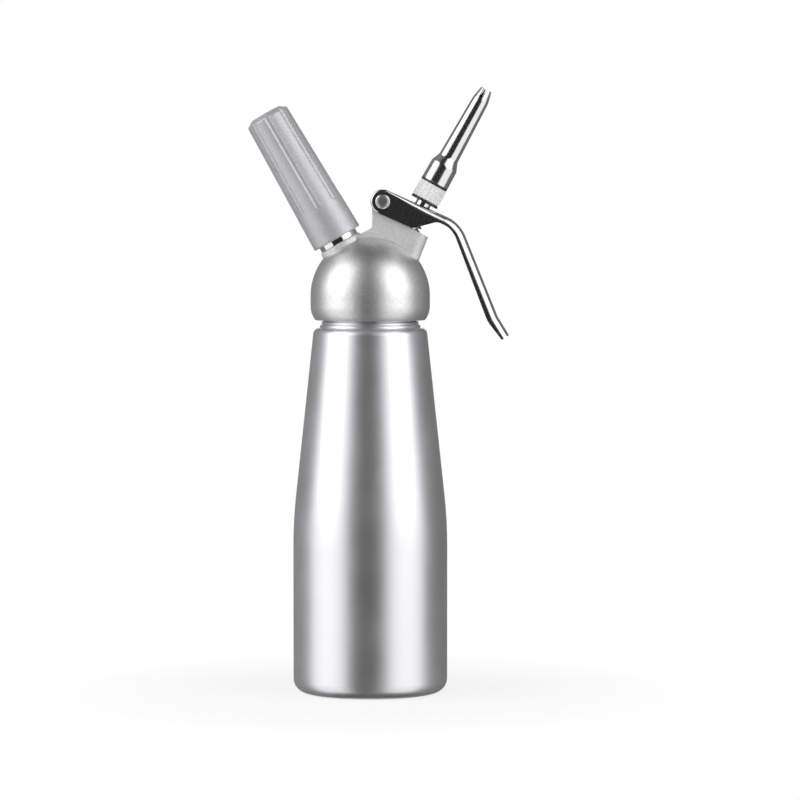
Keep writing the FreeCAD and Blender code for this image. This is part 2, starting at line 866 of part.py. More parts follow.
def valve_seal():
    """Rubber face seal between the poppet and the head."""
    foot = valve_seat_height - valve_seal_thickness
    return on_valve_axis(tube(valve_seal_radius, stem_radius + seat_gap, foot, valve_seat_height))


def stem_ring():
    """Rubber ring that seals the stem in the head's bore."""
    centre_radius = stem_radius + stem_ring_gap + stem_ring_section
    return on_valve_axis(ring(stem_ring_section, centre_radius, stem_ring_height))


def spring_collar():
    """Collar on the stem that the lever pushes on and the spring pushes back."""
    shape = turned([
        corner(stem_radius + seat_gap, collar_foot),
        corner(collar_radius, collar_foot, collar_edge),
        corner(collar_radius, collar_top, collar_edge),
        corner(stem_radius + seat_gap, collar_top),
    ])
    return on_valve_axis(shape)


def valve_spring():
    """Coil spring that closes the valve and lifts the lever."""
    low = spring_floor + spring_seat_gap
    high = collar_foot - spring_seat_gap
    solid, gap = coil(
        spring_coil_radius, spring_wire, low, high, spring_turns, spring_closed_pitch
    )
    print(f"valve spring, least gap {gap:.2f} mm")
    return on_valve_axis(solid)


def adapter_seal():
    """Black ring under the nozzle adapter."""
    return on_valve_axis(
        tube(adapter_radius + adapter_rib_height, stem_radius + seat_gap, adapter_seal_foot, adapter_foot)
    )


def nozzle_adapter():
    """Ribbed plastic nut on the stem, with the spigot that the tip screws onto."""
    spigot_top = adapter_top + adapter_spigot_length
    shape = turned([
        corner(stem_radius + seat_gap, adapter_foot),
        corner(adapter_radius, adapter_foot, adapter_edge),
        corner(adapter_radius, adapter_top, adapter_edge),
        corner(adapter_spigot_radius, adapter_top),
        corner(adapter_spigot_radius, spigot_top, adapter_edge),
        corner(adapter_bore, spigot_top, adapter_edge),
        corner(adapter_bore, stem_top),
        corner(stem_radius + seat_gap, stem_top),
    ])
    rib_pitch = 2 * math.pi * adapter_radius / adapter_ribs
    rib_radius = adapter_rib_share * rib_pitch
    rib_centre = adapter_radius + adapter_rib_height - rib_radius
    ribs = []
    for index in range(adapter_ribs):
        angle = 2 * math.pi * index / adapter_ribs
        place = FreeCAD.Vector(
            rib_centre * math.cos(angle), rib_centre * math.sin(angle), adapter_foot + adapter_rib_end
        )
        ribs.append(Part.makeCylinder(rib_radius, adapter_length - 2 * adapter_rib_end, place))
    return on_valve_axis(shape.fuse(ribs))


def tip_seal():
    """Black ring between the adapter and the decorator tip."""
    return on_valve_axis(
        tube(tip_foot_radius, adapter_spigot_radius + tip_seal_gap, adapter_top, tip_foot)
    )


def decorator_tip():
    """Spun steel tip: wide foot, shoulder, long taper and slotted petals bent inwards."""
    shoulder_foot = tip_foot + tip_foot_length
    shoulder_top = shoulder_foot + tip_shoulder_length
    petal_foot = shoulder_top + tip_taper_length
    end = petal_foot + tip_petal_length
    wall = tip_wall
    shape = turned([
        corner(tip_foot_radius - wall, tip_foot),
        corner(tip_foot_radius, tip_foot, tip_edge),
        corner(tip_foot_radius - tip_foot_draft, shoulder_foot, tip_bend),
        corner(tip_neck_radius, shoulder_top, tip_bend),
        corner(tip_mouth_radius, petal_foot, tip_petal_bend),
        corner(tip_end_radius, end, tip_edge),
        corner(tip_end_radius - wall, end, tip_edge),
        corner(tip_mouth_radius - wall, petal_foot, tip_petal_bend - wall),
        corner(tip_neck_radius - wall, shoulder_top + tip_wall_step, tip_bend - wall),
        corner(tip_foot_radius - tip_foot_draft - wall, shoulder_foot - tip_wall_step, tip_bend),
    ])
    slot_foot = end - tip_slot_length
    slot_round = 0.4 * tip_slot_width
    slot = plate([
        corner(-tip_slot_width / 2, slot_foot, slot_round),
        corner(-tip_slot_flare / 2, end + PAST),
        corner(tip_slot_flare / 2, end + PAST),
        corner(tip_slot_width / 2, slot_foot, slot_round),
    ], tip_foot_radius)
    slots = []
    for index in range(tip_slots // 2):
        turned_slot = slot.copy()
        turned_slot.rotate(ORIGIN, Z_AXIS, tip_slot_turn + 360 / tip_slots * index)
        slots.append(turned_slot)
    return on_valve_axis(shape.cut(slots))


def crown_corners(depth):
    """Corners of the lever's bent line, at a depth under its outer face."""
    slope = math.radians(handle_angle)
    flare_slope = math.radians(handle_angle - flare_angle)
    elbow = FreeCAD.Vector(elbow_distance, 0, lever_end_radius)
    knee = elbow + FreeCAD.Vector(math.cos(slope), 0, -math.sin(slope)) * handle_length
    end = knee + FreeCAD.Vector(math.cos(flare_slope), 0, -math.sin(flare_slope)) * flare_length
    elbow_inset = depth * math.tan(slope / 2)
    knee_inset = depth * math.tan((slope - flare_slope) / 2)
    handle_in = FreeCAD.Vector(-math.sin(slope), 0, -math.cos(slope))
    flare_in = FreeCAD.Vector(-math.sin(flare_slope), 0, -math.cos(flare_slope))
    handle_along = FreeCAD.Vector(math.cos(slope), 0, -math.sin(slope))
    inner_elbow = FreeCAD.Vector(elbow_distance - elbow_inset, 0, lever_end_radius - depth)
    inner_knee = knee + handle_in * depth + handle_along * knee_inset
    inner_end = end + flare_in * depth
    return inner_elbow, inner_knee, inner_end


def crown_edges(shape, half_width, top):
    """The two edges where the straight part of a lever's top plate meets its sides."""
    edges = []
    for edge in shape.Edges:
        centre = edge.CenterOfMass
        beside = abs(abs(centre.y) - half_width) < 1e-6
        level = abs(centre.z - top) < 1e-6
        if beside and level:
            edges.append(edge)
    return edges


def lever_skin():
    """Lever filled solid: top plate, cheeks, elbow, handle and flared end."""
    elbow, knee, end = crown_corners(0)
    inner_elbow, inner_knee, _ = crown_corners(handle_depth)
    end_low = crown_corners(flare_depth)[2]
    throat = inner_elbow.z + throat_lift
    shape = plate([
        corner(0, lever_end_radius),
        corner(elbow.x, elbow.z, elbow_round),
        corner(knee.x, knee.z, flare_round),
        corner(end.x, end.z),
        corner(end_low.x, end_low.z),
        corner(inner_knee.x, inner_knee.z, flare_round + handle_depth),
        corner(inner_elbow.x, throat, elbow_round - handle_depth),
        corner(elbow_distance - throat_setback, throat, throat_round),
        corner(elbow_distance - heel_setback, -lever_end_radius, heel_round),
        corner(0, -lever_end_radius),
    ], lever_width / 2)
    crown = crown_edges(shape, lever_width / 2, lever_end_radius)
    shape = shape.makeFillet(crown_round_hinge, crown_round_end, crown)
    cheek_end = cross_rod(lever_end_radius, lever_width / 2)
    rims = [edge for edge in cheek_end.Edges if abs(edge.Length - 2 * math.pi * lever_end_radius) < 1e-6]
    cheek_end = cheek_end.makeFillet(crown_round_hinge, rims)
    left = Part.makeBox(
        2 * lever_end_radius, lever_width, 2 * lever_end_radius,
        FreeCAD.Vector(-2 * lever_end_radius, -lever_width / 2, -lever_end_radius),
    )
    return shape.fuse(cheek_end.common(left))


def lever_room():
    """Hollow under the lever's skin, open below and behind the pivot."""
    elbow, knee, end = crown_corners(lever_plate)
    far_elbow, far_knee, far_end = crown_corners(handle_depth + lever_room_excess)
    flare_along = (end - knee).normalize()
    end_stop = end - flare_along * lip_length
    far_stop = far_end - flare_along * lip_length
    shape = plate([
        corner(0, elbow.z),
        corner(elbow.x, elbow.z, elbow_round - lever_plate),
        corner(knee.x, knee.z, flare_round + lever_plate),
        corner(end_stop.x, end_stop.z),
        corner(far_stop.x, far_stop.z),
        corner(far_knee.x, far_knee.z),
        corner(far_elbow.x, far_elbow.z - 2 * lever_end_radius),
        corner(0, -2 * lever_end_radius),
    ], lever_inner_half)
    crown = crown_edges(shape, lever_inner_half, elbow.z)
    shape = shape.makeFillet(crown_inner_round, crown_round_end - lever_plate, crown)
    behind = Part.makeBox(
        2 * lever_end_radius, 2 * lever_inner_half, 4 * lever_end_radius,
        FreeCAD.Vector(-2 * lever_end_radius, -lever_inner_half, -2 * lever_end_radius),
    )
    return shape.fuse(behind)


def lever():
    """Pressed steel lever with a slot for the stem and two dimples that push the collar."""
    shape = lever_skin().cut(lever_room())
    stem_place = in_lever_frame(0, collar_top)
    half_width = stem_radius + slot_clearance
    slot = rod(half_width, 0, 2 * lever_end_radius)
    slot_ends = []
    for side in (-1, 1):
        end = slot.copy()
        end.translate(FreeCAD.Vector(stem_place.x + side * slot_travel, 0, 0))
        slot_ends.append(end)
    middle = Part.makeBox(
        2 * slot_travel, 2 * half_width, 2 * lever_end_radius,
        FreeCAD.Vector(stem_place.x - slot_travel, -half_width, 0),
    )
    shape = shape.cut(slot_ends + [middle])
    dimple_y = (half_width + collar_radius) / 2 + dimple_shift
    dimple_z = stem_place.z + dimple_gap + dimple_radius
    dimples = []
    for side in (-1, 1):
        place = FreeCAD.Vector(stem_place.x, side * dimple_y, dimple_z)
        dimples.append(Part.makeSphere(dimple_radius, place))
    shape = shape.fuse(dimples)
    shape = shape.cut(cross_rod(pivot_radius + cheek_clearance, lever_width))
    return on_lever(shape)


def pin_head(outward):
    """Bevelled, slightly dished head of the pivot on one side of the lever."""
    base = lever_width / 2
    top = base + pin_head_thickness
    dish_radius = pin_head_radius - pin_head_bevel - pin_head_rim
    shape = turned([
        corner(0, base),
        corner(pin_head_radius, base),
        corner(pin_head_radius, top - pin_head_bevel, pin_edge),
        corner(pin_head_radius - pin_head_bevel, top, pin_edge),
        corner(dish_radius, top),
        corner(dish_radius - pin_edge, top - pin_head_dish),
        corner(0, top - pin_head_dish),
    ])
    shape.rotate(ORIGIN, FreeCAD.Vector(1, 0, 0), -90 * outward)
    return shape


def lever_pin():
    """Pivot pin through both cheeks and the ear, with its head at the front."""
    half = lever_width / 2
    shape = cross_rod(pivot_radius, half)
    shape = shape.fuse(pin_head(-1))
    socket = Part.makeCylinder(
        cap_spigot_radius + seat_gap, cap_spigot_length + PAST,
        FreeCAD.Vector(0, half - cap_spigot_length - cap_socket_excess, 0), Y_AXIS,
    )
    return on_lever(shape.cut(socket))


def pin_cap():
    """Rear head of the pivot, with the spigot that holds it in the pin."""
    half = lever_width / 2
    spigot = Part.makeCylinder(
        cap_spigot_radius, cap_spigot_length, FreeCAD.Vector(0, half - cap_spigot_length, 0), Y_AXIS
    )
    return on_lever(pin_head(1).fuse(spigot))


PIECES = [
    bottle, head, head_seal,
    charger_stub, pin_carrier, piercing_pin, charger_seal,
    check_valve_plug, check_valve_ball, check_valve_spring,
    charger, charger_holder, holder_insert,
    valve_stem, valve_seal, stem_ring, spring_collar, valve_spring,
    adapter_seal, nozzle_adapter, tip_seal, decorator_tip,
    lever, lever_pin, pin_cap,
]


def main():
    """Writes one STEP file for each piece and prints the places that the joints use."""
    os.makedirs("parts", exist_ok=True)
    for piece in PIECES:
        shape = piece()
        shape.exportStep(f"parts/{piece.__name__}.step")
        print(piece.__name__, shape.isValid(), len(shape.Solids), round(shape.Volume, 1))
    pivot = pivot_point()
    print(f"pivot at {pivot.x:.4f}, {pivot.z:.4f}")
    print(f"dome centre at {dome_centre:.4f}, valve origin at {valve_origin.z:.4f}")


main()
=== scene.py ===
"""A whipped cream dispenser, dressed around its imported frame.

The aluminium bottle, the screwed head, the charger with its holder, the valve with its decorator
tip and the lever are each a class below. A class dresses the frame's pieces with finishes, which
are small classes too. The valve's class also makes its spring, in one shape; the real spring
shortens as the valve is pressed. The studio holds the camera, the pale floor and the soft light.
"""

import logging
import math
from collections.abc import Mapping
from dataclasses import dataclass, field
from enum import Enum
from typing import Any

import bmesh
import bpy
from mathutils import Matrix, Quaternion, Vector


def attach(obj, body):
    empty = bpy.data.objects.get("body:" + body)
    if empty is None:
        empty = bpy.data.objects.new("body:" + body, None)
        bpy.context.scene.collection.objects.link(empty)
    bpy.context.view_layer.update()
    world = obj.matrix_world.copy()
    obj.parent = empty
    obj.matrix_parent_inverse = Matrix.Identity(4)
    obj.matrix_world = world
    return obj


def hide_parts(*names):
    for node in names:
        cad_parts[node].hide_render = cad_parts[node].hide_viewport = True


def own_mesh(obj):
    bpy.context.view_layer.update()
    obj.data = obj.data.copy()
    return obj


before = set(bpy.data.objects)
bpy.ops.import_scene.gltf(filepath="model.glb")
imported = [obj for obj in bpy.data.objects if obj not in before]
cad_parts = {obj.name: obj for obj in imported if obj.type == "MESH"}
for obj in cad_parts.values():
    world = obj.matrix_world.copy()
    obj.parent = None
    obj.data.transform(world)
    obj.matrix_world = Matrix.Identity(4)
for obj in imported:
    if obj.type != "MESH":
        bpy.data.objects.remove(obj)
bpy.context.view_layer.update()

LOG = logging.getLogger("dispenser")

MM = 0.001
WHITE = (1.0, 1.0, 1.0, 1.0)
FULL = 1.0

# A noise runs from 0 to 1 around this value
NOISE_MIDDLE = 0.5
# The slow clouding of a metal and the dust of a moulding, in cells for each metre
CLOUD_CELLS = 45.0
DUST_CELLS = 160.0
# How much longer a tool mark is than wide
MARK_STRETCH = 60.0

# The flags stand in a ring round the object, from this low to this high and this far out, in metres
STUDIO_LOW = -4.0
STUDIO_HIGH = 5.5
STUDIO_RADIUS = 2.9
# The point that every lamp is aimed at, in metres
LAMP_AIM = (0.0, 0.0, 0.15)

Colour = tuple[float, float, float]
Point = tuple[float, float, float]


class Channel:
    """A shader socket that arithmetic can be written on: each operator adds its Math node."""

    def __init__(self, graph: "ShaderGraph", socket: bpy.types.NodeSocket) -> None:
        """Keeps the socket and the graph that it lies in."""
        self.graph = graph
        self.socket = socket

    def math(self, operation: str, left: Any, right: Any) -> "Channel":
        """Adds one Math node.

        Args:
            operation: the Math node's operation.
            left: the first value or channel.
            right: the second value or channel.

        Returns:
            The node's result.
        """
        made = self.graph.node("ShaderNodeMath", {"operation": operation}, {0: left, 1: right})
        return Channel(self.graph, made.outputs[0])

    def __add__(self, other: Any) -> "Channel":
        """The sum."""
        return self.math("ADD", self, other)

    def __radd__(self, other: Any) -> "Channel":
        """The sum, with the channel on the right."""
        return self.math("ADD", other, self)

    def __sub__(self, other: Any) -> "Channel":
        """The difference."""
        return self.math("SUBTRACT", self, other)

    def __rsub__(self, other: Any) -> "Channel":
        """The difference, with the channel on the right."""
        return self.math("SUBTRACT", other, self)

    def __mul__(self, other: Any) -> "Channel":
        """The product."""
        return self.math("MULTIPLY", self, other)

    def __rmul__(self, other: Any) -> "Channel":
        """The product, with the channel on the right."""
        return self.math("MULTIPLY", other, self)

    def at_most(self, limit: float) -> "Channel":
        """The channel, or the limit where that is less."""
        return self.math("MINIMUM", self, limit)

    def at_least(self, limit: float) -> "Channel":
        """The channel, or the limit where that is more."""
        return self.math("MAXIMUM", self, limit)


class ShaderGraph:
    """The nodes of one material or of the world."""

    def __init__(self, tree: bpy.types.NodeTree) -> None:
        """Starts from an empty tree."""
        self.tree = tree
        self.tree.nodes.clear()

    def node(self, kind: str, settings: Mapping[str, Any] | None = None,
             inputs: Mapping[str | int, Any] | None = None) -> bpy.types.Node:
        """Adds any node.

        Args:
            kind: the node's type.
            settings: its properties, which are set first.
            inputs: values, sockets or channels, by socket name or number.

        Returns:
            The new node.
        """
        made = self.tree.nodes.new(kind)
        for name, value in (settings or {}).items():
            setattr(made, name, value)
        for key, value in (inputs or {}).items():
            if isinstance(value, Channel):
                self.tree.links.new(value.socket, made.inputs[key])
            elif isinstance(value, bpy.types.NodeSocket):
                self.tree.links.new(value, made.inputs[key])
            else:
                made.inputs[key].default_value = value
        return made

    def channel(self, node: bpy.types.Node, output: str) -> Channel:
        """One output of a node, as a channel."""
        return Channel(self, node.outputs[output])

    def place(self) -> bpy.types.NodeSocket:
        """The point on the piece, in the row frame at rest, in metres."""
        return self.node("ShaderNodeTexCoord").outputs["Object"]

    def stretched(self, scale: Point) -> bpy.types.NodeSocket:
        """The piece's coordinates, scaled along each axis, for a grain that runs one way."""
        made = self.node("ShaderNodeVectorMath", {"operation": "MULTIPLY"},
                         {0: self.place(), 1: scale})
        return made.outputs[0]

    def noise(self, scale: float, detail: float = 2.0, rough: float = 0.5,
              at: bpy.types.NodeSocket | None = None) -> Channel:
        """A noise from 0 to 1.

        Args:
            scale: cells in a metre.
            detail: octaves.
            rough: the share of the finer octaves.
            at: the coordinates, or the piece's own.

        Returns:
            The noise's value.
        """
        made = self.node("ShaderNodeTexNoise", {"noise_dimensions": "3D"},
                         {"Vector": at or self.place(), "Scale": scale, "Detail": detail,
                          "Roughness": rough})
        return self.channel(made, "Fac")

    def tint(self, low: Colour, high: Colour, share: Channel) -> bpy.types.NodeSocket:
        """A colour between two.

        Args:
            low: the colour at share 0.
            high: the colour at share 1.
            share: how far from one to the other.

        Returns:
            The colour's socket.
        """
        made = self.node("ShaderNodeMix", {"data_type": "RGBA"},
                         {"Factor": share, 6: (*low, 1.0), 7: (*high, 1.0)})
        return made.outputs[2]

    def bump(self, height: Channel, depth: float) -> bpy.types.NodeSocket:
        """Relief as a normal.

        Args:
            height: the relief, from 0 to 1.
            depth: its depth in metres.

        Returns:
            The normal's socket.
        """
        made = self.node("ShaderNodeBump", None,
                         {"Height": height, "Distance": depth, "Strength": FULL})
        return made.outputs["Normal"]

    def seen_directly(self) -> Channel:
        """Whether a ray comes from the camera, or by way of metal or glass.

        Returns:
            1 for those rays, or 0.
        """
        path = self.node("ShaderNodeLightPath")
        camera = self.channel(path, "Is Camera Ray")
        glossy = self.channel(path, "Is Glossy Ray")
        through = self.channel(path, "Is Transmission Ray")
        return (camera + glossy + through).at_most(1.0)


class Lay(Enum):
    """Which way the fine tool marks of a metal run."""

    NONE = "blasted, cast or buffed, with no direction"
    AROUND = "turned on a lathe, round the axis"


@dataclass(frozen=True)
class Finish:
    """The part of a finish that each one has: its name and how it becomes a material."""

    name: str

    def material(self) -> bpy.types.Material:
        """The material, made at its first use.

        Returns:
            The material with the finish's name.
        """
        known = bpy.data.materials.get(self.name)
        if known is not None and known.get("dressed"):
            return known
        made = known or bpy.data.materials.new(self.name)
        made.use_nodes = True
        made["dressed"] = True
        graph = ShaderGraph(made.node_tree)
        shader = self.shader(graph)
        graph.node("ShaderNodeOutputMaterial", None, {"Surface": shader})
        return made

    def shader(self, graph: ShaderGraph) -> bpy.types.NodeSocket:
        """The finish's nodes, given by each kind of finish."""
        raise NotImplementedError

    def dress(self, *pieces: bpy.types.Object) -> None:
        """Puts the finish in every material slot of the pieces.

        Args:
            pieces: mesh objects.
        """
        for piece in pieces:
            if not piece.data.materials:
                piece.data.materials.append(None)
            for slot in piece.material_slots:
                slot.link = "OBJECT"
                slot.material = self.material()


@dataclass(frozen=True)
class Metal(Finish):
    """A metal with its grain, its tool marks and its faint clouding.

    Colours are linear. Grain and marks are in millimetres.
    """

    colour: Colour = (0.8, 0.8, 0.8)
    roughness: float = 0.3
    cloud: float = 0.04
    cloud_roughness: float = 2.0
    grain: float = 0.5
    grain_depth: float = 0.0
    speckle: float = 0.0
    lay: Lay = Lay.NONE
    mark_pitch: float = 0.12
    mark_depth: float = 0.0
    mark_roughness: float = 0.35
    metallic: float = 1.0

    def marks(self, graph: ShaderGraph) -> Channel:
        """Fine tool marks, as long streaks round the piece's axis.

        Args:
            graph: the material's nodes.

        Returns:
            The marks' height from 0 to 1.
        """
        fine = 1.0 / (self.mark_pitch * MM)
        long = fine / MARK_STRETCH
        return graph.noise(1.0, detail=3.0, rough=0.6, at=graph.stretched((long, long, fine)))

    def colours(self, graph: ShaderGraph, grain: Channel, cloud: Channel) -> bpy.types.NodeSocket:
        """The base colour, a little lighter and darker with the grain and the clouding.

        Args:
            graph: the material's nodes.
            grain: the grain from 0 to 1.
            cloud: the clouding from 0 to 1.

        Returns:
            The colour's socket.
        """
        spread = self.speckle + self.cloud
        speckled = (grain - NOISE_MIDDLE) * (self.speckle / spread)
        clouded = (cloud - NOISE_MIDDLE) * (self.cloud / spread)
        low = tuple(tone * (1.0 - spread) for tone in self.colour)
        high = tuple(min(1.0, tone * (1.0 + spread)) for tone in self.colour)
        return graph.tint(low, high, speckled + clouded + NOISE_MIDDLE)

    def coarse_skin(self, graph: ShaderGraph, rough: Channel) -> tuple[float | Channel, Channel]:
        """How metallic and how rough the skin is, which a casting changes.

        Args:
            graph: the material's nodes.
            rough: the roughness so far.

        Returns:
            The metallic share and the roughness.
        """
        return self.metallic, rough

    def shader(self, graph: ShaderGraph) -> bpy.types.NodeSocket:
        """The metal's nodes.

        Args:
            graph: the material's nodes.

        Returns:
            The shader's socket.
        """
        cloud = graph.noise(CLOUD_CELLS, detail=3.0)
        grain = graph.noise(1.0 / (self.grain * MM), rough=0.6)
        rough = self.roughness + (cloud - NOISE_MIDDLE) * (self.cloud_roughness * self.cloud)
        metallic, rough = self.coarse_skin(graph, rough)
        if self.lay is Lay.AROUND:
            marks = self.marks(graph)
            relief = graph.bump(grain * self.grain_depth + marks * self.mark_depth, MM)
            rough = rough + (marks - NOISE_MIDDLE) * (self.mark_roughness * self.roughness)
        else:
            relief = graph.bump(grain, self.grain_depth * MM)
        made = graph.node("ShaderNodeBsdfPrincipled", None, {
            "Base Color": self.colours(graph, grain, cloud),
            "Metallic": metallic,
            "Roughness": rough,
            "Normal": relief,
        })
        return made.outputs["BSDF"]


@dataclass(frozen=True)
class CastMetal(Metal):
    """A casting round a smooth ball: outside the ball and over its waist the skin is coarser.

    Its lengths are in millimetres in the row frame.
    """

    ball_height: float = 203.1
    ball_radius: float = 30.5
    waist_height: float = 212.0
    edge: float = 0.3
    added_roughness: float = 0.2
    dullness: float = 0.42

    def coarse_skin(self, graph: ShaderGraph, rough: Channel) -> tuple[float | Channel, Channel]:
        """Makes the skin rougher and less mirror-like where it is left as cast.

        Args:
            graph: the material's nodes.
            rough: the roughness so far.

        Returns:
            The metallic share and the roughness.
        """
        here = graph.place()
        reach = graph.node("ShaderNodeVectorMath", {"operation": "DISTANCE"},
                           {0: here, 1: (0.0, 0.0, self.ball_height * MM)})
        parts = graph.node("ShaderNodeSeparateXYZ", None, {0: here})
        steep = 1.0 / (self.edge * MM)
        outside = (graph.channel(reach, "Value") - self.ball_radius * MM) * steep
        above = (graph.channel(parts, "Z") - self.waist_height * MM) * steep
        coarse = outside.at_most(1.0).at_least(0.0) * above.at_most(1.0).at_least(0.0)
        return self.metallic - coarse * self.dullness, rough + coarse * self.added_roughness


@dataclass(frozen=True)
class Moulded(Finish):
    """A moulded plastic, rubber or silicone, with its eggshell skin and a little dust.

    Colours are linear. The skin and the glow's reach are in millimetres.
    """

    colour: Colour = (0.8, 0.8, 0.8)
    roughness: float = 0.4
    patches: float = 0.15
    skin: float = 0.25
    skin_depth: float = 0.01
    dust: float = 0.05
    dust_tone: float = 0.5
    glow: float = 0.0
    glow_reach: float = 2.0

    def shader(self, graph: ShaderGraph) -> bpy.types.NodeSocket:
        """The moulding's nodes.

        Args:
            graph: the material's nodes.

        Returns:
            The shader's socket.
        """
        cloud = graph.noise(DUST_CELLS, detail=3.0)
        skin = graph.noise(1.0 / (self.skin * MM))
        dusty = tuple(tone + (self.dust_tone - tone) * self.dust for tone in self.colour)
        made = graph.node("ShaderNodeBsdfPrincipled", None, {
            "Base Color": graph.tint(self.colour, dusty, cloud),
            "Roughness": self.roughness + (cloud - NOISE_MIDDLE) * self.patches,
            "Normal": graph.bump(skin, self.skin_depth * MM),
            "Subsurface Weight": self.glow,
            "Subsurface Scale": self.glow_reach * MM,
        })
        return made.outputs["BSDF"]


@dataclass(frozen=True)
class FlagCloth(Finish):
    """Plain grey cloth of a flag, which shows one even tone in metal."""

    tone: float

    def shader(self, graph: ShaderGraph) -> bpy.types.NodeSocket:
        """The cloth's nodes.

        Args:
            graph: the material's nodes.

        Returns:
            The shader's socket.
        """
        made = graph.node("ShaderNodeEmission", None, {"Color": WHITE, "Strength": self.tone})
        return made.outputs[0]


@dataclass(frozen=True)
class TablePaint(Finish):
    """White paint that the camera sees as white, but for the shadow near the object."""

    radius: float
    tone: float = 0.9
    white_share: float = 0.80

    def shader(self, graph: ShaderGraph) -> bpy.types.NodeSocket:
        """The paint's nodes, with more plain white towards the table's edge.

        Args:
            graph: the material's nodes.

        Returns:
            The shader's socket.
        """
        paint = graph.node("ShaderNodeBsdfDiffuse", None, {"Color": (self.tone,) * 3 + (1.0,)})
        white = graph.node("ShaderNodeEmission", None, {"Color": WHITE, "Strength": FULL})
        reach = graph.node("ShaderNodeVectorMath", {"operation": "LENGTH"}, {0: graph.place()})
        outward = graph.channel(reach, "Value") * (1.0 / self.radius)
        share = outward * outward * (1.0 - self.white_share) + self.white_share
        mixed = graph.node("ShaderNodeMixShader", None, {
            0: graph.seen_directly() * share.at_most(1.0),
            1: paint.outputs[0],
            2: white.outputs[0],
        })
        return mixed.outputs[0]


class Finishes(Enum):
    """Every finish of the dispenser, by the name that a maker would use."""

    BOTTLE = Metal("satin_bottle", (0.87, 0.87, 0.89), 0.38, cloud=0.05, grain=0.30,
                   grain_depth=0.002, speckle=0.05, lay=Lay.AROUND, mark_pitch=0.22,
                   mark_depth=0.0022)
    HEAD = CastMetal("blasted_head", (0.93, 0.93, 0.94), 0.42, grain=1.1, grain_depth=0.07,
                     speckle=0.30)
    HOLDER = Metal("blasted_holder", (0.63, 0.63, 0.65), 0.54, grain=1.1, grain_depth=0.008,
                   speckle=0.16, metallic=0.6)
    POLISHED = Metal("polished_steel", (0.86, 0.86, 0.86), 0.10, cloud=0.03, grain=0.6,
                     grain_depth=0.0004, lay=Lay.AROUND, mark_pitch=0.10, mark_depth=0.0006)
    TIP = Metal("buffed_tip", (0.84, 0.83, 0.82), 0.17, grain=0.8, grain_depth=0.0008)
    LEVER = Metal("chromed_lever", (0.82, 0.82, 0.83), 0.16, cloud=0.02, grain=2.4,
                  grain_depth=0.0003)
    PIN = Metal("chromed_pin", (0.84, 0.84, 0.84), 0.33, cloud=0.03, grain=0.8,
                grain_depth=0.0010)
    SPRING = Metal("spring_wire", (0.62, 0.61, 0.60), 0.24, cloud=0.05, grain=0.30,
                   grain_depth=0.002)
    CHARGER = Metal("charger_steel", (0.60, 0.61, 0.63), 0.26, cloud=0.06, grain=0.7,
                    grain_depth=0.003)
    BRASS = Metal("turned_brass", (0.78, 0.57, 0.26), 0.22, cloud=0.05, grain=0.5,
                  grain_depth=0.001, lay=Lay.AROUND, mark_depth=0.001)
    RUBBER = Moulded("black_rubber", (0.018, 0.018, 0.019), 0.42)
    SILICONE = Moulded("clear_silicone", (0.72, 0.74, 0.75), 0.36, glow=0.25)
    PLASTIC = Moulded("white_plastic", (0.93, 0.93, 0.93), 0.32, skin_depth=0.001, dust=0.02)

    def dress(self, *names: str) -> None:
        """Dresses pieces of the frame.

        Args:
            names: the pieces' names.
        """
        self.value.dress(*(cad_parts[name] for name in names))
        LOG.info("%s: %s", self.value.name, ", ".join(names))


def mesh_object(name: str, mesh: bmesh.types.BMesh) -> bpy.types.Object:
    """Turns a bmesh into an object of the scene.

    Args:
        name: the object's name.
        mesh: its faces, which are freed here.

    Returns:
        The object.
    """
    data = bpy.data.meshes.new(name)
    mesh.to_mesh(data)
    mesh.free()
    made = bpy.data.objects.new(name, data)
    bpy.context.scene.collection.objects.link(made)
    return made


@dataclass
class BottleSet:
    """The bottle."""

    def dress(self) -> None:
        """Dresses the bottle."""
        Finishes.BOTTLE.dress("bottle")


@dataclass
class HeadSet:
    """The head with its seal, the charger stub and the parts in it."""

    def dress(self) -> None:
        """Dresses the head's pieces."""
        Finishes.HEAD.dress("head")
        Finishes.SILICONE.dress("head_seal")
        Finishes.POLISHED.dress("charger_stub", "piercing_pin", "check_valve_ball")
        Finishes.BRASS.dress("pin_carrier", "check_valve_plug")
        Finishes.SPRING.dress("check_valve_spring")
        Finishes.RUBBER.dress("charger_seal")


@dataclass
class ChargerSet:
    """The charger and its holder."""

    def dress(self) -> None:
        """Dresses the charger's pieces."""
        Finishes.HOLDER.dress("charger_holder")
        Finishes.POLISHED.dress("holder_insert")
        Finishes.CHARGER.dress("charger")


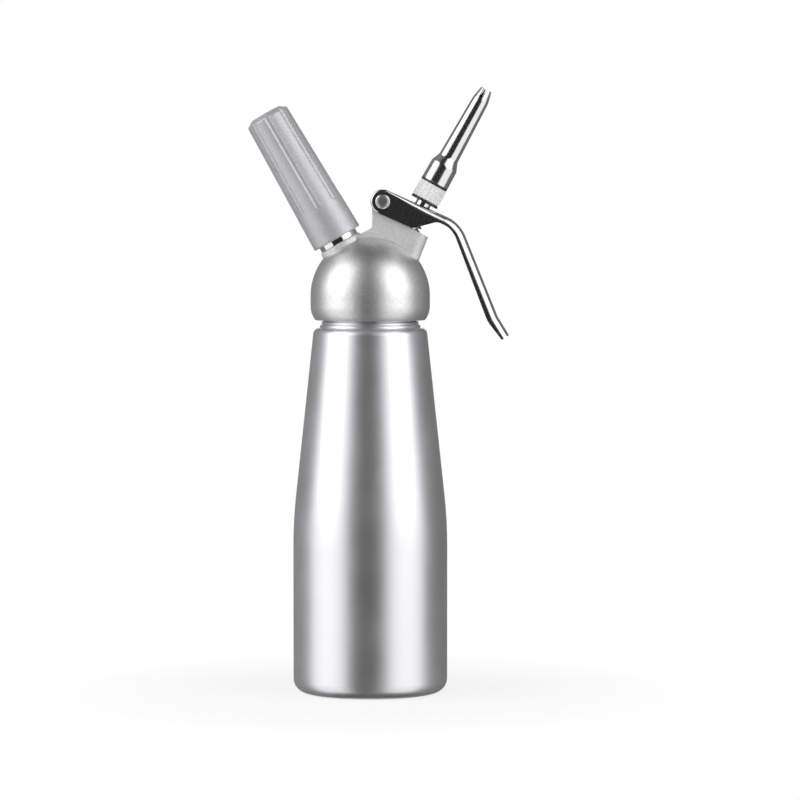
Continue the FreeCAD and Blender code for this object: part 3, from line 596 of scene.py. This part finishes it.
@dataclass
class ValveSpring:
    """The coil spring under the collar, which shortens as the valve is pressed.

    Its origin is in metres in the row frame. The other lengths are in millimetres, and heights
    run along the valve's axis from that origin.
    """

    name: str = "coil_spring"
    origin: Point = (0.0, 0.0, 0.2011)
    axis: Point = (0.4848096, 0.0, 0.8746197)
    foot: float = 36.05
    top: float = 50.35
    coil_radius: float = 4.95
    wire: float = 1.0
    turns: int = 7
    closed_pitch: float = 1.5
    steps: int = 36
    sides: int = 12
    tangent_step: float = 0.01
    pressed_share: float = 0.82

    def rise(self, turn: float) -> float:
        """Height of the wire's middle over its start, with one closed turn at each end.

        Args:
            turn: how many turns from the start.

        Returns:
            The height in millimetres.
        """
        closed = min(turn, 1.0) + max(turn - (self.turns - 1), 0.0)
        length = self.top - self.foot - self.wire
        open_pitch = (length - 2.0 * self.closed_pitch) / (self.turns - 2)
        return self.closed_pitch * closed + open_pitch * (turn - closed)

    def middle(self, turn: float) -> Vector:
        """The wire's middle after so many turns, on an upright axis.

        Args:
            turn: how many turns from the start.

        Returns:
            The point in millimetres.
        """
        angle = 2.0 * math.pi * turn
        x = self.coil_radius * math.cos(angle)
        y = self.coil_radius * math.sin(angle)
        return Vector((x, y, self.foot + self.wire / 2.0 + self.rise(turn)))

    def section(self, turn: float, lean: Quaternion) -> list[Vector]:
        """The wire's outline after so many turns.

        Args:
            turn: how many turns from the start.
            lean: the turn from upright to the valve's axis.

        Returns:
            The outline's points in the row frame.
        """
        middle = self.middle(turn)
        before = self.middle(max(turn - self.tangent_step, 0.0))
        after = self.middle(min(turn + self.tangent_step, self.turns))
        out = Vector((middle.x, middle.y, 0.0)).normalized()
        up = (after - before).normalized().cross(out)
        points = []
        for side in range(self.sides):
            angle = 2.0 * math.pi * side / self.sides
            spot = middle + (out * math.cos(angle) + up * math.sin(angle)) * (self.wire / 2.0)
            points.append(Vector(self.origin) + lean @ spot * MM)
        return points

    def coil(self) -> bpy.types.Object:
        """Makes the wire as one closed tube.

        Returns:
            The spring's object.
        """
        mesh = bmesh.new()
        lean = Vector((0.0, 0.0, 1.0)).rotation_difference(Vector(self.axis))
        rings = []
        for step in range(self.turns * self.steps + 1):
            points = self.section(step / self.steps, lean)
            rings.append([mesh.verts.new(point) for point in points])
        for low, high in zip(rings, rings[1:]):
            for side in range(self.sides):
                following = (side + 1) % self.sides
                wall = mesh.faces.new((low[side], high[side], high[following], low[following]))
                wall.smooth = True
        mesh.faces.new(rings[0])
        mesh.faces.new(reversed(rings[-1]))
        bmesh.ops.recalc_face_normals(mesh, faces=mesh.faces)
        return mesh_object(self.name, mesh)

    def build(self) -> None:
        """Makes the spring, which stands for the frame's own."""
        spring = self.coil()
        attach(spring, "head")
        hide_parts("valve_spring")
        Finishes.SPRING.value.dress(spring)
        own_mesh(spring)
        LOG.info("%s: %s", Finishes.SPRING.value.name, self.name)


@dataclass
class ValveSet:
    """The valve stem with its seals, spring and collar, the adapter and the tip."""

    spring: ValveSpring = field(default_factory=ValveSpring)

    def dress(self) -> None:
        """Dresses the valve's pieces and makes its spring."""
        self.spring.build()
        Finishes.POLISHED.dress("valve_stem", "spring_collar")
        # adapter_seal and tip_seal are thin black rings at the adapter's lower and upper ends, in
        # the black rubber finish
        Finishes.RUBBER.dress("valve_seal", "stem_ring", "adapter_seal", "tip_seal")
        Finishes.PLASTIC.dress("nozzle_adapter")
        Finishes.TIP.dress("decorator_tip")


@dataclass
class LeverSet:
    """The lever and its two-piece pin."""

    def dress(self) -> None:
        """Dresses the lever's pieces."""
        Finishes.LEVER.dress("lever")
        Finishes.PIN.dress("lever_pin", "pin_cap")


@dataclass
class Flag:
    """A curved card far from the object, which metal shows in its reflections.

    It runs between two angles from the front, in degrees.
    """

    name: str
    first: float
    last: float
    tone: float
    steps: int = 24

    def build(self) -> None:
        """Makes the card, which stands outside the reach of every view's camera."""
        mesh = bmesh.new()
        columns = []
        for step in range(self.steps + 1):
            turn = math.radians(self.first + (self.last - self.first) * step / self.steps)
            x = STUDIO_RADIUS * math.sin(turn)
            y = -STUDIO_RADIUS * math.cos(turn)
            columns.append([mesh.verts.new((x, y, z)) for z in (STUDIO_LOW, STUDIO_HIGH)])
        for (low, high), (next_low, next_high) in zip(columns, columns[1:]):
            mesh.faces.new((low, next_low, next_high, high))
        card = mesh_object(self.name, mesh)
        card.visible_camera = False
        FlagCloth(f"{self.name}_cloth", self.tone).dress(card)


@dataclass
class Softbox:
    """An area lamp round the object.

    Angles are in degrees from the front and from level, and lengths in metres.
    """

    name: str
    azimuth: float
    elevation: float
    width: float
    tall: float
    radiance: float
    reach: float = 2.6
    in_metal: bool = True

    def build(self) -> None:
        """Makes the lamp, aimed at the middle of the object."""
        data = bpy.data.lights.new(self.name, "AREA")
        data.shape = "RECTANGLE"
        data.size = self.width
        data.size_y = self.tall
        data.energy = self.radiance * math.pi * self.width * self.tall
        lamp = bpy.data.objects.new(self.name, data)
        turn = math.radians(self.azimuth)
        rise = math.radians(self.elevation)
        level = math.cos(rise)
        away = Vector((math.sin(turn) * level, -math.cos(turn) * level, math.sin(rise)))
        lamp.location = Vector(LAMP_AIM) + away * self.reach
        lamp.rotation_euler = (-away).to_track_quat("-Z", "Y").to_euler()
        lamp.visible_camera = False
        lamp.visible_glossy = self.in_metal
        bpy.context.scene.collection.objects.link(lamp)


@dataclass
class Studio:
    """The camera, the pale floor, the flags and the soft light. Lengths are in metres."""

    eye: Point = (0.0152, -2.0, 0.26)
    aim: Point = (0.0152, 0.0, 0.1497)
    frame_width: float = 0.4088
    table_radius: float = 0.16
    table_gap: float = 0.00005
    cloth_radius: float = 2.95
    disc_sides: int = 96
    ground_tone: float = 0.08
    ceiling_tone: float = 0.05
    flags: list[Flag] = field(default_factory=lambda: [
        Flag("camera_flag", -34.0, 24.0, 0.025),
        Flag("left_flag", -172.0, -98.0, 0.20),
        Flag("right_flag", 86.0, 172.0, 0.15),
    ])
    softboxes: list[Softbox] = field(default_factory=lambda: [
        Softbox("left_softbox", -62.0, 5.0, 2.0, 1.8, 0.10),
        Softbox("right_softbox", 55.0, 5.0, 2.0, 1.8, 0.08),
        Softbox("upper_left_softbox", -70.0, 28.0, 1.9, 2.2, 1.35),
        Softbox("upper_right_softbox", 58.0, 28.0, 1.7, 2.2, 1.3),
        Softbox("front_fill", -8.0, 28.0, 1.2, 1.2, 2.6, in_metal=False),
    ])

    def camera(self) -> None:
        """Places the camera where the photograph was taken from."""
        data = bpy.data.cameras.new("camera")
        line = Vector(self.aim) - Vector(self.eye)
        data.lens = data.sensor_width * line.length / self.frame_width
        made = bpy.data.objects.new("camera", data)
        made.location = self.eye
        made.rotation_euler = line.to_track_quat("-Z", "Y").to_euler()
        bpy.context.scene.collection.objects.link(made)
        bpy.context.scene.camera = made

    def world(self) -> None:
        """Makes a plain white room."""
        world = bpy.data.worlds.new("studio")
        world.use_nodes = True
        bpy.context.scene.world = world
        graph = ShaderGraph(world.node_tree)
        light = graph.node("ShaderNodeBackground", None, {"Color": WHITE, "Strength": FULL})
        graph.node("ShaderNodeOutputWorld", None, {"Surface": light.outputs[0]})

    def disc(self, name: str, radius: float, height: float, finish: Finish) -> bpy.types.Object:
        """Makes a level round card.

        Args:
            name: the card's name.
            radius: its radius.
            height: its height.
            finish: its cloth or paint.

        Returns:
            The card.
        """
        mesh = bmesh.new()
        bmesh.ops.create_circle(mesh, cap_ends=True, segments=self.disc_sides, radius=radius)
        made = mesh_object(name, mesh)
        made.location.z = height
        finish.dress(made)
        return made

    def floor(self) -> None:
        """Makes the pale table that keeps the shadow, and grey cloth far under and over it."""
        paint = TablePaint("table_paint", self.table_radius)
        table = self.disc("floor", self.table_radius, -self.table_gap, paint)
        table.visible_glossy = False
        ground_cloth = FlagCloth("ground_cloth", self.ground_tone)
        ceiling_cloth = FlagCloth("ceiling_cloth", self.ceiling_tone)
        ground = self.disc("ground", self.cloth_radius, STUDIO_LOW, ground_cloth)
        ceiling = self.disc("ceiling", self.cloth_radius, STUDIO_HIGH, ceiling_cloth)
        ground.visible_camera = False
        ceiling.visible_camera = False

    def build(self) -> None:
        """Makes everything round the object."""
        self.camera()
        self.world()
        self.floor()
        for part in [*self.flags, *self.softboxes]:
            part.build()
        bpy.context.scene.view_settings.view_transform = "Standard"
        LOG.info("studio: %d flags, %d softboxes", len(self.flags), len(self.softboxes))


def main() -> None:
    """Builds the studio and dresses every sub-assembly."""
    logging.basicConfig(level=logging.INFO, format="%(name)s: %(message)s")
    Studio().build()
    for part in (BottleSet(), HeadSet(), ChargerSet(), ValveSet(), LeverSet()):
        part.dress()


if __name__ == "__main__":
    main()
